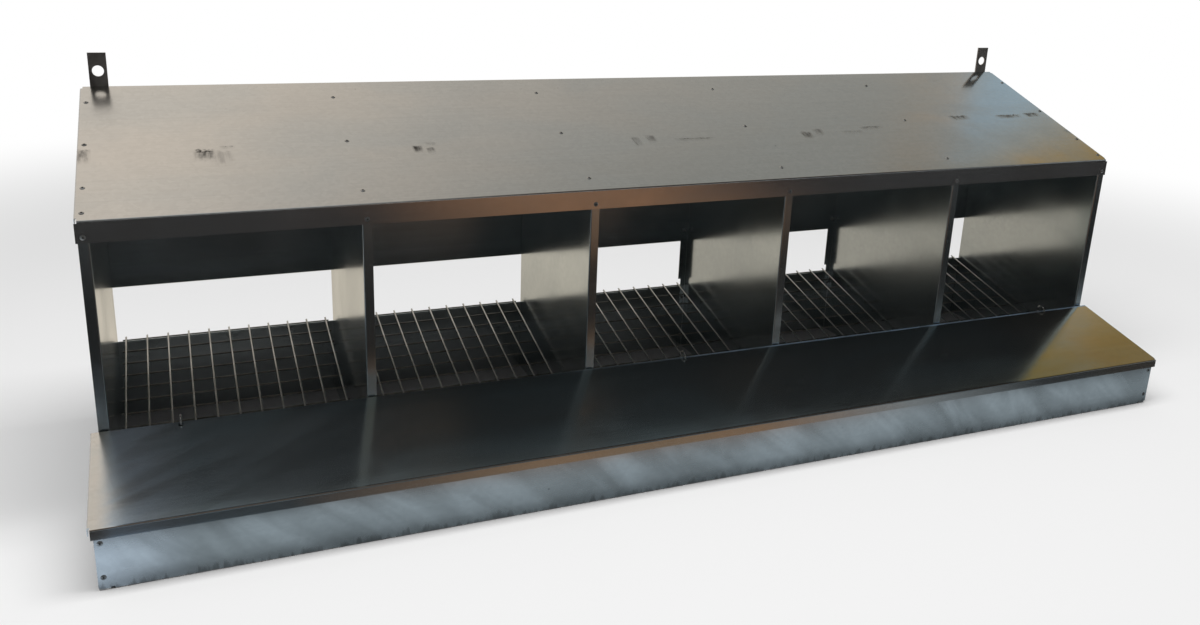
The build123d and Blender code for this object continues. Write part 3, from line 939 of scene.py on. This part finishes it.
class NESTBOX_OT_rivets(bpy.types.Operator):
    """Finish the blind rivets and add the broken stem in the middle of each head"""
    bl_idname = "nest_box.rivets"
    bl_label = "Rivets"

    def execute(self, context):
        look = context.scene.nest_box
        set_material(RIVET_NODES, drawn_wire("rivet_metal", look.rivets))
        steel = drawn_wire("stem_steel", look.stems)
        for name in RIVET_NODES:
            work = bmesh.new()
            for points in loose_parts(name):
                self.add_stem(work, points, rivet_side(name), look.stems)
            finish_piece(work, name.replace("rivets", "rivet_stems"), steel, "box")
        return {"FINISHED"}

    def add_stem(self, work, points, out, stem):
        """A short stub with a hollow end, on the top of one rivet's head."""
        top = max(points, key=out.dot)
        place = Matrix.Translation(top) @ out.to_track_quat("Z", "Y").to_matrix().to_4x4()
        radius = stem.width / 2
        made = bmesh.ops.create_cone(
            work, cap_ends=True, cap_tris=False, segments=STEM_SIDES, radius1=radius,
            radius2=radius * STEM_TAPER, depth=stem.height, matrix=place)
        faces = {face for corner in made["verts"] for face in corner.link_faces}
        end = max(faces, key=lambda face: face.calc_center_median().dot(out))
        bmesh.ops.inset_region(
            work, faces=[end], thickness=stem.width * STEM_RIM, depth=-stem.height * STEM_HOLLOW)


# Studio

def seen_by_eye_and_mirror(tree):
    """1 for rays from the camera, from mirrors and through glass, 0 for the rest."""
    path = tree.nodes.new("ShaderNodeLightPath").outputs
    return largest(tree, path["Is Camera Ray"], path["Is Glossy Ray"], path["Is Transmission Ray"])


def floor_material(colour):
    """A pale matt floor that runs out to plain white."""
    material, tree, surface, place = new_material("studio_floor")
    matt = add_node(tree, "ShaderNodeBsdfDiffuse", {"Color": colour}).outputs["BSDF"]
    white = add_node(tree, "ShaderNodeEmission", {"Color": WHITE, "Strength": 1.0}).outputs["Emission"]
    away = vector_math(tree, "LENGTH", place, output="Value")
    far = remap(tree, away, *FLOOR_FADE, smooth=True)
    factor = product(tree, far, seen_by_eye_and_mirror(tree))
    mixed = add_node(tree, "ShaderNodeMixShader", {0: factor, 1: matt, 2: white})
    tree.links.new(mixed.outputs["Shader"], surface)
    return material


def glowing(name, make_colour):
    """A material that shows a colour made from its place, without lighting anything matt."""
    material, tree, surface, place = new_material(name)
    path = tree.nodes.new("ShaderNodeLightPath").outputs
    strength = calculate(tree, "LESS_THAN", path["Diffuse Depth"], 0.5)
    glow = add_node(tree, "ShaderNodeEmission", {"Color": make_colour(tree, place), "Strength": strength})
    tree.links.new(glow.outputs["Emission"], surface)
    material.cycles.emission_sampling = "NONE"
    return material


def aslant(tree, turn, rise, turn_share, rise_share, shift):
    """A turn and a rise mixed into one angle, whose lines run aslant across the surround."""
    shifted = calculate(tree, "MULTIPLY_ADD", turn, turn_share, shift)
    return calculate(tree, "MULTIPLY_ADD", rise, rise_share, shifted)


def surround_colour(tree, place):
    """Soft graded light all round: warm and pale behind, blue and then golden to the right, dim in front,
    and one pale blue window in front on the right. turn runs from behind towards the right, in degrees."""
    at = axes(tree, place)
    turn = calculate(tree, "DEGREES", calculate(tree, "ARCTAN2", at["X"], at["Y"]))
    lift = calculate(tree, "DIVIDE", at["Z"], vector_math(tree, "LENGTH", place, output="Value"))
    rise = calculate(tree, "DEGREES", calculate(tree, "ARCSINE", lift))
    either_way = calculate(tree, "ABSOLUTE", turn)

    colour = colour_ramp(tree, aslant(tree, turn, rise, 1.52, 1.8, -89.0), BEHIND)

    across = aslant(tree, turn, rise, 1.0, -0.5, 17.5)
    beyond = aslant(tree, turn, rise, 1.0, 0.44, -15.2)
    blue = mix_colour(tree, remap(tree, across, 53.6, 55.4, smooth=True), BLUE_EDGE, BLUE)
    golden = colour_ramp(tree, beyond, GOLDEN)
    beside = mix_colour(tree, remap(tree, beyond, 59.2, 59.8, smooth=True), blue, golden)
    beside = mix_colour(tree, 1.0, beside, remap(tree, rise, 33.0, 41.0, 1.1, 0.6), "MULTIPLY")
    right = product(tree, remap(tree, across, 49.8, 52.0, smooth=True), remap(tree, rise, 56.0, 42.0))
    colour = mix_colour(tree, right, colour, beside)

    dim = mix_colour(tree, remap(tree, either_way, 148.0, 164.0), DIM, DIM_STRAIGHT_AHEAD)
    dim = mix_colour(tree, remap(tree, rise, 18.0, 34.0), DIM_LOW, dim)
    ahead = product(
        tree, remap(tree, either_way, 80.0, 115.0, smooth=True), remap(tree, rise, 72.0, 54.0, smooth=True))
    colour = mix_colour(tree, ahead, colour, dim)

    off_window = calculate(tree, "ABSOLUTE", calculate(tree, "SUBTRACT", turn, 116.0))
    window = product(
        tree, remap(tree, off_window, 8.0, 5.0), between(tree, rise, (24.0, 29.0), (37.0, 34.0)))
    colour = mix_colour(tree, window, colour, WINDOW)
    return mix_colour(tree, remap(tree, rise, 62.0, 78.0, smooth=True), colour, OVERHEAD)


def front_ground_colour(tree, place):
    """Dark ground in front of the tray, with a brown stretch, and a pale bluish strip along its foot, which
    darkens towards the foot as painted shade.
    """
    at = axes(tree, place)
    far, near, strip = (colour_ramp(tree, at["X"], stops) for stops in (FAR_GROUND, NEAR_GROUND, FOOT_STRIP))
    ground = mix_colour(tree, remap(tree, at["Y"], -0.75, -1.05, smooth=True), MIDDLE_GROUND, far)
    ground = mix_colour(tree, remap(tree, at["Y"], -0.335, -0.42, smooth=True), near, ground)
    clouds = remap(tree, noise(tree, place, 11.0), 0.3, 0.7, 0.85, 1.1)
    # Painted shade on the ground next to the tray's foot
    foot_shade = remap(tree, at["Y"], -0.258, -0.208, 1.0, 0.42, smooth=True)
    strip = mix_colour(tree, 1.0, strip, product(tree, clouds, foot_shade), "MULTIPLY")
    return mix_colour(tree, remap(tree, at["Y"], -0.303, -0.294, smooth=True), ground, strip)


def rear_ground_colour(tree, place):
    """Pale warm ground behind the box, dimmer towards the right end."""
    ground = colour_ramp(tree, axes(tree, place)["X"], REAR_GROUND)
    patches = remap(tree, noise(tree, place, 3.0), 0.3, 0.7, 0.94, 1.06)
    return mix_colour(tree, 1.0, ground, patches, "MULTIPLY")


class NESTBOX_OT_stage(bpy.types.Operator):
    """Set up the floor, the light, what the zinc mirrors and the camera"""
    bl_idname = "nest_box.stage"
    bl_label = "Studio"

    def execute(self, context):
        stage = context.scene.nest_box.stage
        self.add_world(context.scene, stage)
        self.add_floor(stage)
        self.add_mirrored()
        self.add_lamp(context.scene, stage)
        self.add_camera(context.scene, stage)
        context.scene.view_settings.view_transform = "Standard"
        return {"FINISHED"}

    def add_world(self, scene, stage):
        """Even light from all round, seen as white."""
        world = bpy.data.worlds.new("studio_world")
        scene.world = world
        world.use_nodes = True
        tree = world.node_tree
        tree.nodes.clear()
        even = add_node(tree, "ShaderNodeBackground", {"Color": WHITE, "Strength": stage.world_light})
        white = add_node(tree, "ShaderNodeBackground", {"Color": WHITE, "Strength": 1.0})
        mixed = add_node(tree, "ShaderNodeMixShader", {
            0: seen_by_eye_and_mirror(tree), 1: even.outputs["Background"], 2: white.outputs["Background"]})
        output = tree.nodes.new("ShaderNodeOutputWorld")
        tree.links.new(mixed.outputs["Shader"], output.inputs["Surface"])

    def add_floor(self, stage):
        """A round floor under the box."""
        work = bmesh.new()
        bmesh.ops.create_circle(work, cap_ends=True, segments=FLOOR_SIDES, radius=stage.floor_radius)
        stage_piece(work, "studio_floor", floor_material(stage.floor_colour))

    def add_mirrored(self):
        """The surround and the grounds, which only the zinc shows."""
        work = bmesh.new()
        bmesh.ops.create_uvsphere(
            work, u_segments=SURROUND_SIDES, v_segments=SURROUND_SIDES // 2, radius=SURROUND_RADIUS)
        geometry = work.verts[:] + work.edges[:] + work.faces[:]
        bmesh.ops.bisect_plane(
            work, geom=geometry, plane_co=(0, 0, SURROUND_FOOT), plane_no=(0, 0, 1), clear_inner=True)
        mirror_only(stage_piece(work, "studio_surround", glowing("studio_surround", surround_colour)))
        self.add_ground("front_ground", -GROUND_REACH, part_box("tray_front_wall")[0].y, front_ground_colour)
        self.add_ground("rear_ground", CAD_BOX[1].y + REAR_GROUND_GAP, GROUND_REACH, rear_ground_colour)

    def add_ground(self, name, front, back, make_colour):
        """A flat card just above the floor, from front to back along Y."""
        middle = Matrix.Translation((0.0, (front + back) / 2, GROUND_LIFT))
        size = Matrix.Diagonal((GROUND_HALF_WIDTH, (back - front) / 2, 1.0, 1.0))
        work = bmesh.new()
        bmesh.ops.create_grid(work, x_segments=1, y_segments=1, size=1.0, matrix=middle @ size)
        mirror_only(stage_piece(work, name, glowing(name, make_colour)))

    def add_lamp(self, scene, stage):
        """A long soft lamp above, which the zinc doesn't show."""
        lamp = bpy.data.lights.new("soft_lamp", "AREA")
        lamp.shape = "RECTANGLE"
        lamp.size, lamp.size_y = stage.lamp_size
        lamp.energy = stage.lamp_power
        lamp_object = bpy.data.objects.new("soft_lamp", lamp)
        scene.collection.objects.link(lamp_object)
        lamp_object.location = stage.lamp_place
        lamp_object.visible_glossy = False

    def add_camera(self, scene, stage):
        """The camera at the photograph's viewing angle."""
        turn, tilt, roll = stage.camera_turn
        ahead = Vector((math.sin(turn) * math.cos(tilt), math.cos(turn) * math.cos(tilt), -math.sin(tilt)))
        level = Vector((math.cos(turn), -math.sin(turn), 0.0))
        over = level.cross(ahead)
        right = level * math.cos(roll) + over * math.sin(roll)
        up = over * math.cos(roll) - level * math.sin(roll)
        camera = bpy.data.cameras.new("photo_camera")
        camera.sensor_fit = "HORIZONTAL"
        camera.sensor_width = SENSOR_WIDTH
        camera.lens = stage.camera_lens
        camera.shift_y = -stage.camera_drop
        camera.clip_start, camera.clip_end = VIEW_RANGE
        camera_object = bpy.data.objects.new("photo_camera", camera)
        scene.collection.objects.link(camera_object)
        facing = Matrix((right, up, -ahead)).transposed().to_4x4()
        camera_object.matrix_world = Matrix.Translation(stage.camera_place) @ facing
        scene.camera = camera_object


class NESTBOX_PT_panel(bpy.types.Panel):
    """Finishes and studio of the nesting box"""
    bl_idname = "NESTBOX_PT_panel"
    bl_label = "Nesting Box"
    bl_space_type = "VIEW_3D"
    bl_region_type = "UI"
    bl_category = "Nesting Box"

    def draw(self, context):
        for operator in OPERATORS:
            self.layout.operator(operator.bl_idname)


OPERATORS = (
    NESTBOX_OT_stage, NESTBOX_OT_roof, NESTBOX_OT_walls, NESTBOX_OT_lid, NESTBOX_OT_tray,
    NESTBOX_OT_wire_floors, NESTBOX_OT_rings, NESTBOX_OT_tabs, NESTBOX_OT_rivets,
)
CLASSES = (
    ZincSettings, RoofSettings, WallSettings, LidSettings, TraySettings, WireSettings, RingSettings,
    TabSettings, RivetSettings, StemSettings, StageSettings, NestBoxSettings, *OPERATORS, NESTBOX_PT_panel,
)


def register():
    for cls in CLASSES:
        bpy.utils.register_class(cls)
    bpy.types.Scene.nest_box = settings_of(NestBoxSettings, "Nesting box", "Finishes and studio")


def unregister():
    del bpy.types.Scene.nest_box
    for cls in reversed(CLASSES):
        bpy.utils.unregister_class(cls)


def main():
    register()
    bpy.ops.nest_box.stage()
    bpy.ops.nest_box.roof()
    bpy.ops.nest_box.walls()
    bpy.ops.nest_box.lid()
    bpy.ops.nest_box.tray()
    bpy.ops.nest_box.wire_floors()
    bpy.ops.nest_box.rings()
    bpy.ops.nest_box.tabs()
    bpy.ops.nest_box.rivets()


if __name__ == "__main__":
    main()
